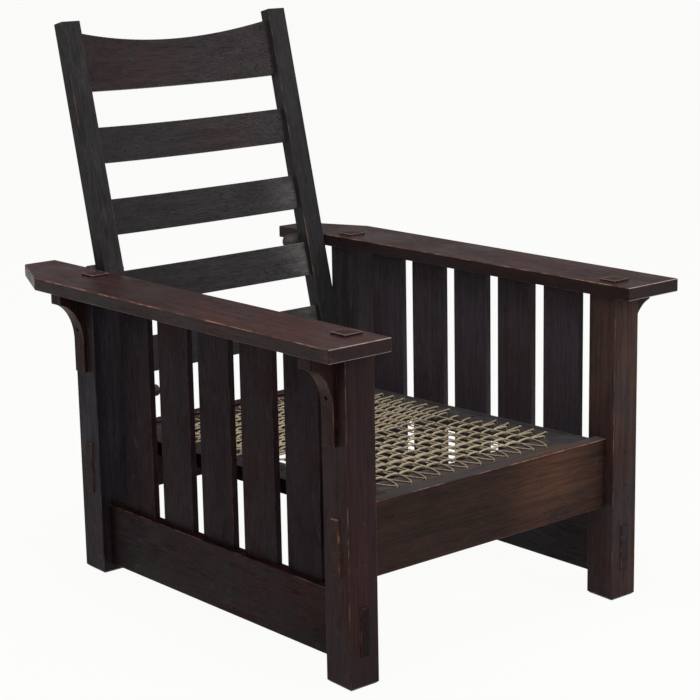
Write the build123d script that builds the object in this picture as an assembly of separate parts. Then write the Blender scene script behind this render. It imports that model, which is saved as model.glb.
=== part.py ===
from build123d import *
import math
import os

# A reclining armchair in dark oak with slatted sides and a corded drop-in seat.
# Millimetres. X runs across the chair, the front faces -Y and Z points up.
# The origin is on the floor, at the middle of the chair's outline.
# The pieces are drawn with the arms level. The rear legs are shorter than the front
# ones, so at the end the whole chair is turned back until all four feet lie flat.

# Fits between pieces
joint_gap = 0.1
running_gap = 0.06
rest_gap = 0.25

# Posts
between_posts = 550.0
post_spacing = 700.0
post_size = 60.0
post_edge_radius = 1.8
rear_leg_cut = 21.0
foot_chamfer = 4.0
arm_tenon_size = 36.0
arm_tenon_proud = 3.5
arm_tenon_peak = 2.5
arm_tenon_flat = 6.0

# Arms
arm_top = 572.5
arm_length = 957.0
arm_width = 127.0
arm_thickness = 23.0
arm_front_overhang = 36.0
arm_inner_overhang = 5.0
arm_clip_width = 61.0
arm_clip_length = 132.0
arm_edge_radius = 2.0

# Side rails, low between the front and rear posts
side_rail_thickness = 25.0
side_rail_height = 114.0
side_rail_rise = 36.0
side_tenon_thickness = 19.0
side_tenon_shoulder = 15.0

# Seat rails, across the chair
seat_rail_thickness = 25.0
seat_rail_height = 125.0
front_rail_top = 296.0
seat_fall = 14.0
seat_tenon_thickness = 20.0
seat_tenon_shoulder = 15.0
rail_edge_radius = 1.5
tenon_proud = 3.0
tenon_end_chamfer = 2.0

# Pins through the seat rails' tenons
rail_pin_radius = 4.0
rail_pin_length = 46.0
rail_pin_upper_inset = 11.8
rail_pin_lower_inset = 23.1
rail_pin_proud = 0.4

# Side slats
slat_count = 5
slat_width = 87.0
slat_thickness = 12.0
slat_gap = 30.0
slat_setback = 1.5
slat_tenon_thickness = 7.0
slat_tenon_length = 10.0
slat_tenon_shoulder = 6.0
slat_edge_radius = 1.0

# Corbels under the arms
corbel_thickness = 30.0
corbel_height = 150.0
corbel_foot = 8.5
corbel_reach = 53.0
corbel_straight = 57.5
corbel_curve_width = 52.0
corbel_curve_height = 73.5
corbel_offset = 5.0
corbel_edge_radius = 0.8

# Wood screws
screw_head_radius = 3.8
screw_head_height = 2.6
screw_shank_radius = 2.1
screw_slot_width = 1.0
screw_slot_depth = 0.9
corbel_screw_rise = 77.0
corbel_screw_length = 34.0
corbel_screw_recess = 3.0
cleat_screw_length = 38.0
cleat_screw_recess = 1.0
cleat_screw_margin = 70.0
cleat_screw_count = 3

# Cleats that carry the seat
cleat_depth = 22.0
cleat_height = 25.0

# Drop-in seat frame
seat_recess = 4.0
seat_thickness = 26.0
seat_side_clearance = 4.0
seat_end_clearance = 3.5
seat_member_width = 64.0
seat_tongue_length = 22.0
seat_tongue_thickness = 10.0
seat_edge_radius = 2.0
cord_hole_radius = 3.6
cross_hole_inset = 18.0
cross_hole_spacing = 31.6
cross_hole_margin = 97.2
side_hole_outer_inset = 31.0
side_hole_inner_inset = 53.0
side_hole_spacing = 31.5
side_hole_margin = 66.25

# Cord net over the seat frame
strand_width = 8.0
net_thickness = 3.5

# Reclining back
back_lean = 13.7
back_offset = 35.5
stile_inner_x = 219.0
stile_width = 42.0
stile_depth = 30.0
stile_top_depth = 24.5
stile_taper_start = 20.0
stile_rise = 458.0
stile_drop = 275.0
stile_edge_radius = 1.8
back_rail_thickness = 11.0
back_rail_height = 66.5
back_rail_setback = 13.5
back_rail_bow = 21.0
back_rail_count = 5
back_rail_gap = 67.8
lowest_rail_rise = 73.7
lowest_rail_gap = 60.8
top_rail_height = 109.0
top_rail_dip = 19.5
back_tenon_length = 15.0
back_tenon_thickness = 7.0
back_tenon_shoulder = 6.0
back_rail_edge_chamfer = 0.8

# Pivot pins
pivot_drop = 236.2
pivot_radius = 8.0
pivot_embed = 30.0
pivot_head_radius = 11.0
pivot_head_length = 36.0
pivot_head_rounding = 5.0
spacer_radius = 18.0
spacer_rounding = 1.0

# Support pegs and their holes in the arms
peg_radius = 14.0
peg_length = 76.0
peg_rounding = 12.5
peg_shank_radius = 7.0
peg_shank_length = 23.0
peg_hole_depth = 25.0
peg_hole_pitch = 38.0
peg_hole_count = 2

# Places that follow from the sizes above
inner_post_x = between_posts / 2
outer_post_x = inner_post_x + post_size
post_x = (inner_post_x + outer_post_x) / 2
front_post_y = -arm_length / 2 + arm_front_overhang + post_size / 2
rear_post_y = front_post_y + post_spacing
stance_tilt = math.degrees(math.atan(rear_leg_cut / post_spacing))
arm_under = arm_top - arm_thickness
arm_inner_x = inner_post_x - arm_inner_overhang
arm_outer_x = arm_inner_x + arm_width
side_rail_top = side_rail_rise + side_rail_height
rear_rail_top = front_rail_top - seat_fall
side_clear_front = front_post_y + post_size / 2
side_clear_rear = rear_post_y - post_size / 2
corbel_screw_z = arm_under - corbel_height + corbel_screw_rise
slat_x = post_x - side_rail_thickness / 2 + slat_setback + slat_thickness / 2
seat_rail_places = (
    (front_post_y, front_rail_top, -1),
    (rear_post_y, rear_rail_top, 1),
)
seat_slope = math.degrees(math.atan(seat_fall / post_spacing))
seat_front_y = front_post_y + seat_rail_thickness / 2 + seat_end_clearance
seat_rear_y = rear_post_y - seat_rail_thickness / 2 - seat_end_clearance
seat_length = seat_rear_y - seat_front_y
seat_middle_y = (seat_front_y + seat_rear_y) / 2
seat_half_width = inner_post_x - seat_side_clearance
seat_inner_x = seat_half_width - seat_member_width
cross_hole_y = seat_length / 2 - cross_hole_inset
side_hole_outer_x = seat_half_width - side_hole_outer_inset
side_hole_inner_x = seat_half_width - side_hole_inner_inset
back_front_y = rear_post_y + back_offset
stile_outer_x = stile_inner_x + stile_width
lean = math.radians(back_lean)
through = post_size


def limits(middle, width):
    """The two ends of a width set about its middle."""
    return (middle - width / 2, middle + width / 2)


def block(x_limits, y_limits, z_limits):
    """A square-edged block between two limits on each axis."""
    spans = (x_limits, y_limits, z_limits)
    middle = [(low + high) / 2 for low, high in spans]
    size = [high - low for low, high in spans]
    return Pos(*middle) * Box(*size)


def rod_x(radius, x_limits, y, z):
    """A round bar along X."""
    low, high = x_limits
    return Pos((low + high) / 2, y, z) * Rot(0, 90, 0) * Cylinder(radius, high - low)


def rod_y(radius, y_limits, x, z):
    """A round bar along Y."""
    low, high = y_limits
    return Pos(x, (low + high) / 2, z) * Rot(90, 0, 0) * Cylinder(radius, high - low)


def eased(shape, axis, radius):
    """The shape with its straight edges along one axis rounded."""
    return fillet(shape.edges().filter_by(axis), radius)


def widened(span, gap):
    """A span made longer by a gap at both ends."""
    low, high = span
    return (low - gap, high + gap)


def mirrored(shape):
    """The same piece for the other side of the chair."""
    return mirror(shape, about=Plane.YZ)


def grouped(pieces):
    """Like pieces kept as separate solids in one group."""
    return Compound([piece.solid() for piece in pieces])


def floor_at(y):
    """Height of the floor under the level-drawn chair."""
    return (y - front_post_y) * rear_leg_cut / post_spacing


def seat_top_at(y):
    """Height of the seat frame's top face at a distance along the chair."""
    front = front_rail_top - seat_recess
    return front - (y - front_post_y) * seat_fall / post_spacing


# Joinery sockets shared by the pieces that meet in them

side_tenon_z = (side_rail_rise + side_tenon_shoulder, side_rail_top - side_tenon_shoulder)


def seat_tenon_z(rail_top):
    """Height limits of a seat rail's tenon."""
    return (rail_top - seat_rail_height + seat_tenon_shoulder, rail_top - seat_tenon_shoulder)


def rail_pin_heights(rail_top):
    """Heights of the pins through a seat rail's tenon."""
    bottom, top = seat_tenon_z(rail_top)
    return [top - rail_pin_upper_inset, bottom + rail_pin_lower_inset]


def slat_centres():
    """Places of the slats between the front and rear posts."""
    middle = (side_clear_front + side_clear_rear) / 2
    pitch = slat_width + slat_gap
    first = middle - pitch * (slat_count - 1) / 2
    return [first + pitch * place for place in range(slat_count)]


def slat_socket(y, z_limits):
    """The mortise that takes a slat's tenon."""
    width = slat_width - 2 * slat_tenon_shoulder + 2 * joint_gap
    thickness = slat_tenon_thickness + 2 * joint_gap
    return block(limits(slat_x, thickness), limits(y, width), z_limits)


def in_back(shape):
    """Set a piece drawn upright for the back into its lean.

    In the back's own frame Y runs rearward from the stiles' front faces and Z runs
    along the stiles from the level of the arm tops.
    """
    return Pos(0, back_front_y, arm_top) * Rot(-back_lean, 0, 0) * shape


def from_back(depth, height):
    """Place in the chair of a point given in the back's own frame."""
    y = back_front_y + depth * math.cos(lean) + height * math.sin(lean)
    z = arm_top - depth * math.sin(lean) + height * math.cos(lean)
    return y, z


pivot_y, pivot_z = from_back(stile_depth / 2, -pivot_drop)
peg_z = arm_top - arm_thickness / 2
peg_depth = stile_depth + rest_gap + peg_radius
peg_along = (peg_z - arm_top + peg_depth * math.sin(lean)) / math.cos(lean)
peg_y = from_back(peg_depth, peg_along)[0]


# Fixed frame

def post(y, rail_top, outward, carries_back):
    """A right-hand post; outward is -1 at the front of the chair and 1 at the rear."""
    low, high = limits(y, post_size)
    outline = Polyline(
        (low, floor_at(low)), (high, floor_at(high)), (high, arm_under), (low, arm_under), close=True
    )
    body = extrude(Pos(inner_post_x, 0, 0) * (Plane.YZ * make_face(outline)), post_size)
    body = chamfer(body.faces().sort_by(Axis.Z)[0].edges(), foot_chamfer)
    body = eased(body, Axis.Z, post_edge_radius)
    neck_top = arm_top + arm_tenon_proud
    body += block(
        limits(post_x, arm_tenon_size), limits(y, arm_tenon_size), (arm_under, neck_top)
    )
    foot = Pos(post_x, y, neck_top) * Rectangle(arm_tenon_size, arm_tenon_size)
    peak = Pos(post_x, y, neck_top + arm_tenon_peak) * Rectangle(arm_tenon_flat, arm_tenon_flat)
    body += loft([foot, peak], ruled=True)
    side_slot = side_tenon_thickness + 2 * joint_gap
    body -= block(
        limits(post_x, side_slot), limits(y, 2 * through), widened(side_tenon_z, joint_gap)
    )
    seat_slot = seat_tenon_thickness + 2 * joint_gap
    body -= block(
        limits(post_x, 2 * through), limits(y, seat_slot), widened(seat_tenon_z(rail_top), joint_gap)
    )
    face = y + outward * post_size / 2
    for z in rail_pin_heights(rail_top):
        reach = (face + outward * through, face - outward * rail_pin_length)
        body -= rod_y(rail_pin_radius + joint_gap, sorted(reach), post_x, z)
    screw_tip = outer_post_x - corbel_screw_length
    screw_y = y + corbel_offset
    body -= rod_x(
        screw_shank_radius + joint_gap, (screw_tip, outer_post_x + through), screw_y, corbel_screw_z
    )
    if carries_back:
        depth = pivot_embed + joint_gap
        body -= rod_x(pivot_radius + joint_gap, (inner_post_x - through, inner_post_x + depth),
                      pivot_y, pivot_z)
    return body


def arm():
    """The right-hand arm, flat, with its rear outer corner cut off."""
    front = -arm_length / 2
    rear = arm_length / 2
    outline = Polyline(
        (arm_inner_x, front),
        (arm_outer_x, front),
        (arm_outer_x, rear - arm_clip_length),
        (arm_outer_x - arm_clip_width, rear),
        (arm_inner_x, rear),
        close=True,
    )
    plate = extrude(Pos(0, 0, arm_under) * make_face(outline), arm_thickness)
    plate = eased(plate, Axis.Z, arm_edge_radius)
    rims = plate.edges().group_by(Axis.Z)
    plate = fillet(rims[-1] + rims[0], arm_edge_radius)
    hole = arm_tenon_size + 2 * joint_gap
    for y in (front_post_y, rear_post_y):
        plate -= block(
            limits(post_x, hole), limits(y, hole), limits(arm_top, 2 * arm_thickness + through)
        )
    for y in slat_centres():
        plate -= slat_socket(y, (arm_under - through, arm_under + slat_tenon_length + joint_gap))
    for place in range(peg_hole_count):
        plate -= rod_x(
            peg_shank_radius + running_gap,
            (arm_inner_x - through, arm_inner_x + peg_hole_depth),
            peg_y + place * peg_hole_pitch,
            peg_z,
        )
    return plate


def side_rail():
    """The right-hand rail between the posts, with the slats' mortises on top."""
    body = block(
        limits(post_x, side_rail_thickness),
        (side_clear_front, side_clear_rear),
        (side_rail_rise, side_rail_top),
    )
    body = eased(body, Axis.Y, rail_edge_radius)
    front_end = side_clear_front - post_size - tenon_proud
    rear_end = side_clear_rear + post_size + tenon_proud
    tenon = block(limits(post_x, side_tenon_thickness), (front_end, rear_end), side_tenon_z)
    ends = tenon.faces().filter_by(Axis.Y)
    body += chamfer(ends[0].edges() + ends[1].edges(), tenon_end_chamfer)
    for y in slat_centres():
        body -= slat_socket(y, (side_rail_top - slat_tenon_length - joint_gap, side_rail_top + through))
    return body


def slat(y):
    """A right-hand slat with a stub tenon at each end."""
    body = block(
        limits(slat_x, slat_thickness), limits(y, slat_width), (side_rail_top, arm_under)
    )
    body = eased(body, Axis.Z, slat_edge_radius)
    tenon_width = slat_width - 2 * slat_tenon_shoulder
    tenon_z = (side_rail_top - slat_tenon_length, arm_under + slat_tenon_length)
    return body + block(limits(slat_x, slat_tenon_thickness), limits(y, tenon_width), tenon_z)


def seat_rail(y, rail_top, outward):
    """A rail across the chair, tenoned and pinned through both posts."""
    body = block(
        (-inner_post_x, inner_post_x),
        limits(y, seat_rail_thickness),
        (rail_top - seat_rail_height, rail_top),
    )
    body = eased(body, Axis.X, rail_edge_radius)
    end = outer_post_x + tenon_proud
    tenon = block((-end, end), limits(y, seat_tenon_thickness), seat_tenon_z(rail_top))
    ends = tenon.faces().filter_by(Axis.X)
    body += chamfer(ends[0].edges() + ends[1].edges(), tenon_end_chamfer)
    for x in (-post_x, post_x):
        for z in rail_pin_heights(rail_top):
            body -= rod_y(rail_pin_radius + joint_gap, limits(y, 2 * through), x, z)
    face = y - outward * seat_rail_thickness / 2
    tip = face + outward * (cleat_screw_length - cleat_depth + cleat_screw_recess)
    for x in cleat_screw_places():
        reach = sorted((face - outward * through, tip))
        body -= rod_y(screw_shank_radius + joint_gap, reach, x, cleat_middle_z(y, outward))
    return body


def rail_pins():
    """The eight pins through the seat rails' tenons."""
    pins = []
    for y, rail_top, outward in seat_rail_places:
        face = y + outward * (post_size / 2 + rail_pin_proud)
        tip = y + outward * post_size / 2 - outward * rail_pin_length
        for x in (-post_x, post_x):
            for z in rail_pin_heights(rail_top):
                pins.append(rod_y(rail_pin_radius, sorted((face, tip)), x, z))
    return grouped(pins)


def corbel(y):
    """A right-hand corbel: straight foot, hollow curve and square nose."""
    root = outer_post_x
    foot = root + corbel_foot
    nose = root + corbel_reach
    base = arm_under - corbel_height
    curve_start = base + corbel_straight
    sweep_end = math.degrees(math.acos((nose - foot) / corbel_curve_width - 1))
    sweep = EllipticalCenterArc(
        (foot + corbel_curve_width, curve_start),
        corbel_curve_width,
        corbel_curve_height,
        sweep_end,
        arc_size=180 - sweep_end,
    )
    curve_top = curve_start + corbel_curve_height * math.sin(math.radians(sweep_end))
    sides = Polyline(
        (nose, curve_top), (nose, arm_under), (root, arm_under), (root, base), (foot, base),
        (foot, curve_start),
    )
    profile = Plane.XZ * make_face(sides.edges() + sweep.edges())
    body = extrude(profile, corbel_thickness / 2, both=True)
    outer = body.edges().filter_by(Axis.Y, reverse=True).filter_by_position(
        Axis.X, foot - corbel_edge_radius, nose + corbel_edge_radius
    )
    body = chamfer(outer.filter_by(Axis.Z), corbel_edge_radius)
    body = Pos(0, y + corbel_offset, 0) * body
    head = foot - corbel_screw_recess - screw_head_height
    body -= rod_x(screw_head_radius + joint_gap, (head, foot + through), y + corbel_offset,
                  corbel_screw_z)
    body -= rod_x(screw_shank_radius + joint_gap, (root - through, foot), y + corbel_offset,
                  corbel_screw_z)
    return body


def screw(length):
    """A slotted wood screw along Z, its head's top face at zero."""
    head = Pos(0, 0, -screw_head_height / 2) * Cylinder(screw_head_radius, screw_head_height)
    slot = block(
        limits(0, 2 * screw_head_radius + screw_slot_width),
        limits(0, screw_slot_width),
        (-screw_slot_depth, screw_head_height),
    )
    shank_length = length - screw_head_height
    shank = Pos(0, 0, -screw_head_height - shank_length / 2) * Cylinder(
        screw_shank_radius, shank_length
    )
    tip = chamfer(shank.faces().sort_by(Axis.Z)[0].edges(), screw_shank_radius / 2)
    return head - slot + tip


def corbel_screws():
    """The four screws that hold the corbels to the posts."""
    right = []
    for y in (front_post_y, rear_post_y):
        face = outer_post_x + corbel_foot - corbel_screw_recess
        place = Pos(face, y + corbel_offset, corbel_screw_z) * Rot(0, 90, 0)
        right.append(place * screw(corbel_screw_length))
    return grouped(right + [mirrored(item) for item in right])


# Cleats and seat

def cleat_screw_places():
    """Places of a cleat's screws across the chair."""
    end = inner_post_x - cleat_screw_margin
    step = 2 * end / (cleat_screw_count - 1)
    return [-end + step * place for place in range(cleat_screw_count)]


def cleat_middle_z(rail_y, outward):
    """Height of the middle of a cleat that stands on a seat rail's inner face."""
    face = rail_y - outward * seat_rail_thickness / 2
    middle = face - outward * cleat_depth / 2
    return seat_top_at(middle) - seat_thickness - cleat_height / 2


def cleat(rail_y, outward):
    """A strip on a seat rail's inner face, its top cut to the seat's slope."""
    face = rail_y - outward * seat_rail_thickness / 2
    lip = face - outward * cleat_depth
    under = seat_thickness + rest_gap
    bottom = cleat_middle_z(rail_y, outward) - cleat_height / 2
    outline = Polyline(
        (face, bottom),
        (face, seat_top_at(face) - under),
        (lip, seat_top_at(lip) - under),
        (lip, bottom),
        close=True,
    )
    body = extrude(Plane.YZ * make_face(outline), inner_post_x - joint_gap, both=True)
    for x in cleat_screw_places():
        z = cleat_middle_z(rail_y, outward)
        body -= rod_y(screw_shank_radius + joint_gap, limits(face, 2 * through), x, z)
        head_seat = lip + outward * (screw_head_height + cleat_screw_recess)
        body -= rod_y(screw_head_radius + joint_gap, sorted((head_seat, lip - outward * through)),
                      x, z)
    return body


def cleat_screws():
    """The screws that hold both cleats to the seat rails."""
    screws = []
    for rail_y, rail_top, outward in seat_rail_places:
        lip = rail_y - outward * (seat_rail_thickness / 2 + cleat_depth - cleat_screw_recess)
        for x in cleat_screw_places():
            place = Pos(x, lip, cleat_middle_z(rail_y, outward)) * Rot(90 * outward, 0, 0)
            screws.append(place * screw(cleat_screw_length))
    return grouped(screws)


def in_seat(shape):
    """Set a piece drawn level, with the frame's top face at zero, into the seat's slope."""
    return Pos(0, seat_middle_y, seat_top_at(seat_middle_y)) * Rot(-seat_slope, 0, 0) * shape


def even_places(reach, spacing):
    """Places either side of zero, evenly spaced, out to the last pair that fits the reach."""
    gaps = max(1, round(2 * reach / spacing))
    return [-reach + 2 * reach * place / gaps for place in range(gaps + 1)]


def between(places):
    """The middles of the gaps between neighbouring places."""
    return [(low + high) / 2 for low, high in zip(places, places[1:])]


def cross_hole_places():
    """Places across the chair of the cord holes in the front and rear members."""
    return even_places(seat_half_width - cross_hole_margin, cross_hole_spacing)


def side_hole_places():
    """Places along a side member of the holes nearer the opening."""
    return even_places(seat_length / 2 - side_hole_margin, side_hole_spacing)


def cord_holes():
    """Every cord hole in the frame: single rows at the ends, staggered rows at the sides."""
    places = [(x, end * cross_hole_y) for end in (-1, 1) for x in cross_hole_places()]
    for side in (-1, 1):
        places += [(side * side_hole_inner_x, y) for y in side_hole_places()]
        places += [(side * side_hole_outer_x, y) for y in between(side_hole_places())]
    return places


def drilled(member, x_limits, y_limits):
    """A seat member with the cord holes that fall within its outline."""
    for x, y in cord_holes():
        if x_limits[0] < x < x_limits[1] and y_limits[0] < y < y_limits[1]:
            member -= Pos(x, y, -seat_thickness / 2) * Cylinder(cord_hole_radius, 2 * seat_thickness)
    return member


def seat_tongue_x(side):
    """Limits of the tongue that joins a cross member to a side member."""
    return sorted((side * seat_inner_x, side * (seat_inner_x + seat_tongue_length)))


def seat_tongue_z(gap):
    """Height limits of the tongue, or of its groove when given the joint's gap."""
    return limits(-seat_thickness / 2, seat_tongue_thickness + 2 * gap)


def seat_side_member():
    """The right-hand side member, full length, grooved for both cross members."""
    x_limits = (seat_inner_x, seat_half_width)
    y_limits = (-seat_length / 2, seat_length / 2)
    body = block(x_limits, y_limits, (-seat_thickness, 0))
    body = eased(body, Axis.Z, seat_edge_radius)
    body = fillet(body.edges().group_by(Axis.Z)[-1].filter_by(Axis.Y), seat_edge_radius / 2)
    for end in (-1, 1):
        y = end * (seat_length / 2 - seat_member_width / 2)
        slot_y = limits(y, seat_member_width - 2 * cord_hole_radius + 2 * joint_gap)
        low, high = seat_tongue_x(1)
        body -= block((low - through, high + joint_gap), slot_y, seat_tongue_z(joint_gap))
    return in_seat(drilled(body, x_limits, y_limits))


def seat_cross_member(end):
    """The front or rear member between the side members; end is -1 or 1."""
    y = end * (seat_length / 2 - seat_member_width / 2)
    x_limits = (-seat_inner_x, seat_inner_x)
    y_limits = limits(y, seat_member_width)
    body = block(x_limits, y_limits, (-seat_thickness, 0))
    body = fillet(body.edges().group_by(Axis.Z)[-1].filter_by(Axis.X), seat_edge_radius / 2)
    for side in (-1, 1):
        tongue_y = limits(y, seat_member_width - 2 * cord_hole_radius)
        body += block(seat_tongue_x(side), tongue_y, seat_tongue_z(0))
    reach = seat_inner_x + seat_tongue_length
    return in_seat(drilled(body, (-reach, reach), y_limits))


def strand_lines(hole_places):
    """Lines of the strands that run from the holes of one member to the other."""
    middles = between(hole_places)
    half_gap = middles[0] - hole_places[0]
    return [hole_places[0] - half_gap] + middles + [hole_places[-1] + half_gap]


def toothed(start, direction, outward, lines, length):
    """Points along one side of the net, stepping out along each strand's end."""
    half = strand_width / 2
    points = []
    for line in lines:
        foot = start + direction * line
        before = foot - direction * half
        after = foot + direction * half
        points += [before, before + outward * length, after + outward * length, after]
    return points


def seat_net():
    """The woven seat as one flat net: strands from side to side and from end to end."""
    long_lines = strand_lines(cross_hole_places())
    wide_lines = side_hole_places()
    edge_x = long_lines[-1] + strand_width / 2
    edge_y = wide_lines[-1] + strand_width / 2
    to_side = side_hole_outer_x - edge_x
    to_end = cross_hole_y - edge_y
    east, north = Vector(1, 0), Vector(0, 1)
    border = toothed(north * -edge_y, east, -north, long_lines, to_end)
    border += toothed(east * edge_x, north, east, wide_lines, to_side)
    border += toothed(north * edge_y, -east, north, long_lines, to_end)
    border += toothed(east * -edge_x, -north, -east, wide_lines, to_side)
    outline = [place for place, last in zip(border, border[-1:] + border[:-1])
               if (place - last).length > joint_gap]
    gaps = []
    for x, next_x in zip(long_lines, long_lines[1:]):
        for y, next_y in zip(wide_lines, wide_lines[1:]):
            west_x, east_x = x + strand_width / 2, next_x - strand_width / 2
            south_y, north_y = y + strand_width / 2, next_y - strand_width / 2
            gaps.append(Wire.make_polygon(
                [(west_x, south_y), (east_x, south_y), (east_x, north_y), (west_x, north_y)]
            ))
    print("net gaps", len(gaps), "strands", len(long_lines), "by", len(wide_lines))
    face = Face(Wire.make_polygon(outline), gaps)
    return in_seat(extrude(face, net_thickness, dir=(0, 0, 1)))


# Reclining back

back_tenon_y = limits(back_rail_setback + back_rail_thickness / 2, back_tenon_thickness)


def back_rail_spans():
    """Height limits of the back rails, from the top rail down to the lowest."""
    low = -stile_drop + lowest_rail_rise
    spans = [(low, low + back_rail_height)]
    gap = lowest_rail_gap
    for place in range(1, back_rail_count):
        low = spans[-1][1] + gap
        gap = back_rail_gap
        height = top_rail_height if place == back_rail_count - 1 else back_rail_height
        spans.append((low, low + height))
    return spans[::-1]


def stile():
    """The right-hand stile: square below the arm, thinning to its top."""
    bottom = -stile_drop
    outline = Polyline(
        (0, bottom),
        (0, stile_rise),
        (stile_top_depth, stile_rise),
        (stile_depth, stile_taper_start),
        (stile_depth, bottom),
        close=True,
    )
    face = Pos(stile_inner_x, 0, 0) * (Plane.YZ * make_face(outline))
    body = extrude(face, stile_width)
    along = [edge for edge in body.edges() if abs(edge.center().X - stile_outer_x) < rest_gap
             or abs(edge.center().X - stile_inner_x) < rest_gap]
    body = fillet(along, stile_edge_radius)
    for low, high in back_rail_spans():
        socket_z = (low + back_tenon_shoulder - joint_gap, high - back_tenon_shoulder + joint_gap)
        body -= block(
            (stile_inner_x - through, stile_inner_x + back_tenon_length + joint_gap),
            widened(back_tenon_y, joint_gap),
            socket_z,
        )
    body -= rod_x(
        pivot_radius + running_gap,
        (stile_inner_x - through, stile_outer_x + through),
        stile_depth / 2,
        -pivot_drop,
    )
    return in_back(body)


def bent_slab(z_limits):
    """A back rail's body: an even slab bent rearward between the stiles."""
    front = back_rail_setback
    rear = front + back_rail_thickness
    end = stile_inner_x
    front_arc = ThreePointArc((-end, front), (0, front + back_rail_bow), (end, front))
    rear_arc = ThreePointArc((-end, rear), (0, rear + back_rail_bow), (end, rear))
    sides = Line((-end, front), (-end, rear)) + Line((end, front), (end, rear))
    plan = make_face(front_arc.edges() + rear_arc.edges() + sides.edges())
    low, high = z_limits
    body = extrude(Pos(0, 0, low) * plan, high - low)
    long_edges = [edge for edge in body.edges() if edge.length > stile_inner_x]
    return chamfer(long_edges, back_rail_edge_chamfer)


def back_rail(z_limits, dip):
    """A bent rail with straight stub tenons, its top edge hollowed by the dip."""
    body = bent_slab(z_limits)
    low, high = z_limits
    tenon_z = (low + back_tenon_shoulder, high - back_tenon_shoulder)
    reach = stile_inner_x + back_tenon_length
    if dip:
        hollow = ThreePointArc((-stile_inner_x, high), (0, high - dip), (stile_inner_x, high))
        lid = Line((stile_inner_x, high), (-stile_inner_x, high))
        cut = extrude(Plane.XZ * make_face(hollow.edges() + lid.edges()), 2 * through, both=True)
        body -= cut
    for side in (-1, 1):
        body += block(sorted((side * stile_inner_x, side * reach)), back_tenon_y, tenon_z)
    return in_back(body)


def pivot_pin():
    """The right-hand pivot pin: a plain shank with a long domed head inboard."""
    head_start = stile_inner_x - rest_gap
    head = rod_x(pivot_head_radius, (head_start - pivot_head_length, head_start), pivot_y, pivot_z)
    dome = head.faces().sort_by(Axis.X)[0].edges()
    head = fillet(dome, pivot_head_rounding)
    shank_end = inner_post_x + pivot_embed
    return head + rod_x(pivot_radius, (head_start - pivot_head_length / 2, shank_end), pivot_y, pivot_z)


def pivot_spacer():
    """The right-hand collar that keeps the stile clear of the post."""
    x_limits = (stile_outer_x + rest_gap, inner_post_x)
    collar = rod_x(spacer_radius, x_limits, pivot_y, pivot_z)
    collar = fillet(collar.edges().filter_by(GeomType.CIRCLE), spacer_rounding)
    return collar - rod_x(pivot_radius + joint_gap, widened(x_limits, through), pivot_y, pivot_z)


def support_peg():
    """The right-hand peg: plugged into the arm's edge, it stops the back."""
    base = arm_inner_x - rest_gap
    body = rod_x(peg_radius, (base - peg_length, base), peg_y, peg_z)
    body = fillet(body.faces().sort_by(Axis.X)[0].edges(), peg_rounding)
    body = chamfer(body.faces().sort_by(Axis.X)[-1].edges(), spacer_rounding)
    return body + rod_x(peg_shank_radius, (base - peg_length / 2, base + peg_shank_length), peg_y, peg_z)


def both_sides(nodes, name, shape):
    """Enter a right-hand piece and its mirror image."""
    nodes["right_" + name] = shape
    nodes["left_" + name] = mirrored(shape)


def build():
    """Every piece of the chair by its node's name."""
    nodes = {}
    front_post = post(front_post_y, front_rail_top, -1, False)
    rear_post = post(rear_post_y, rear_rail_top, 1, True)
    nodes["front_right_post"] = front_post
    nodes["front_left_post"] = mirrored(front_post)
    nodes["rear_right_post"] = rear_post
    nodes["rear_left_post"] = mirrored(rear_post)
    both_sides(nodes, "arm", arm())
    both_sides(nodes, "side_rail", side_rail())
    for number, y in enumerate(slat_centres(), start=1):
        both_sides(nodes, f"slat_{number}", slat(y))
    nodes["front_seat_rail"] = seat_rail(*seat_rail_places[0])
    nodes["rear_seat_rail"] = seat_rail(*seat_rail_places[1])
    nodes["rail_pins"] = rail_pins()
    both_sides(nodes, "front_corbel", corbel(front_post_y))
    both_sides(nodes, "rear_corbel", corbel(rear_post_y))
    nodes["corbel_screws"] = corbel_screws()
    nodes["front_cleat"] = cleat(front_post_y, -1)
    nodes["rear_cleat"] = cleat(rear_post_y, 1)
    nodes["cleat_screws"] = cleat_screws()
    both_sides(nodes, "seat_member", seat_side_member())
    nodes["front_seat_member"] = seat_cross_member(-1)
    nodes["rear_seat_member"] = seat_cross_member(1)
    nodes["seat_weave"] = seat_net()
    both_sides(nodes, "stile", stile())
    for number, span in enumerate(back_rail_spans(), start=1):
        name = "top_back_rail" if number == 1 else f"back_rail_{number}"
        nodes[name] = back_rail(span, top_rail_dip if number == 1 else 0)
    both_sides(nodes, "pivot_pin", pivot_pin())
    spacer = pivot_spacer()
    nodes["pivot_spacers"] = grouped([spacer, mirrored(spacer)])
    both_sides(nodes, "support_peg", support_peg())
    return nodes


def stance(nodes):
    """The turn that sets all four feet on the floor, with the outline centred on the origin."""
    turn = Pos(0, front_post_y, 0) * Rot(-stance_tilt, 0, 0) * Pos(0, -front_post_y, 0)
    boxes = [(turn * shape).bounding_box() for shape in nodes.values()]
    front = min(box.min.Y for box in boxes)
    rear = max(box.max.Y for box in boxes)
    return Pos(0, -(front + rear) / 2, 0) * turn


chair = build()
place = stance(chair)
os.makedirs("parts", exist_ok=True)
for node, shape in chair.items():
    export_step(place * shape, f"parts/{node}.step")
for label, y, z in (("pivot", pivot_y, pivot_z), ("peg", peg_y, peg_z), ("front foot", front_post_y, 0)):
    spot = (place * Pos(0, y, z)).position
    print(label, "at y", round(spot.Y, 3), "z", round(spot.Z, 3))
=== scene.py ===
import math
import random

import bpy
from mathutils import Matrix, Vector


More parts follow.
